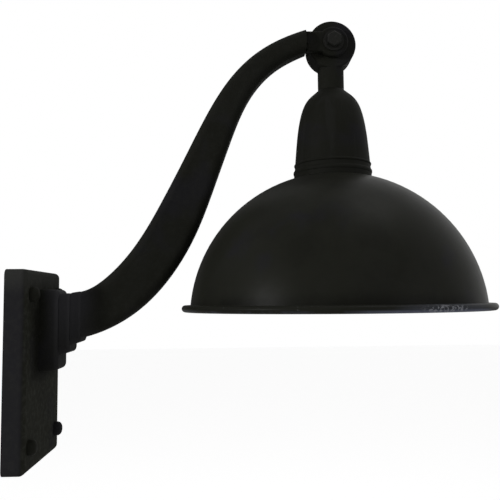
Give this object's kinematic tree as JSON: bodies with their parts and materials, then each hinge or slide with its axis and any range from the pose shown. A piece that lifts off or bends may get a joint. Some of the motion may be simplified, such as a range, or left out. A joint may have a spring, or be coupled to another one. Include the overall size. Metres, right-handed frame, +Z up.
{
  "type": "wall light",
  "caption": "Swan-neck wall light: rectangular wall plate, curved tubular arm and a domed metal shade on a tilting knuckle joint.",
  "frame": {"origin": "centre of the wall plate's back, on the wall", "axes": "+X out of the wall, +Z up; the arm lies in the plane Y = 0 and the lamp hangs beside it on the +Y side"},
  "size_m": [0.447, 0.3, 0.4238],
  "materials": {
    "black_plate": "matte black powder coat",
    "black_arm": "matte black powder coat",
    "black_shade": "matte black powder coat outside and inside",
    "black_cup": "matte black powder coat",
    "black_knuckle": "matte black powder coat",
    "black_fastener": "black-finished steel",
    "zinc_steel": "zinc-plated steel",
    "wire_steel": "plain steel wire",
    "brass_thread": "plain brass",
    "friction_fibre": "dark fibre washer",
    "holder_plastic": "black moulded plastic",
    "shell_metal": "rolled thread, satin",
    "lamp_metal": "nickel-coloured cap, satin",
    "bulb_glass": "frosted glass",
    "grommet_rubber": "black rubber",
    "terminal_plastic": "pale moulded plastic",
    "cable_sheath": "pale smooth sheath"
  },
  "bodies": {
    "wall_part": {"wall_plate": "black_plate", "wall_bracket": "zinc_steel", "bracket_pillars": "zinc_steel", "plate_screws": "black_fastener", "arm": "black_arm", "foot_screws": "zinc_steel", "arm_tongue": "black_arm", "grub_screws": "black_fastener", "pivot_bolt": "black_fastener", "pivot_washers": "black_fastener", "friction_washers": "friction_fibre", "pivot_nut": "black_fastener", "grommet": "grommet_rubber", "terminal_block": "terminal_plastic", "terminal_screws": "brass_thread", "earth_screw": "brass_thread", "arm_cable": "cable_sheath"},
    "lamp_head": {"knuckle": "black_knuckle", "cup": "black_cup", "nipple": "brass_thread", "nipple_nut": "brass_thread", "holder_cap": "holder_plastic", "holder_body": "holder_plastic", "threaded_shell": "shell_metal", "centre_contact": "brass_thread", "lamp_cap": "lamp_metal", "bulb": "bulb_glass", "shade": "black_shade", "rim_wire": "wire_steel", "shade_screws": "black_fastener", "shade_nuts": "zinc_steel", "head_cable": "cable_sheath"}
  },
  "joints": [
    {"name": "head_tilt", "type": "hinge", "parent": "wall_part", "child": "lamp_head", "pos_m": [0.297, 0.0163, 0.312], "axis": [0, -1, 0], "range_deg": [-3, 75]}
  ]
}
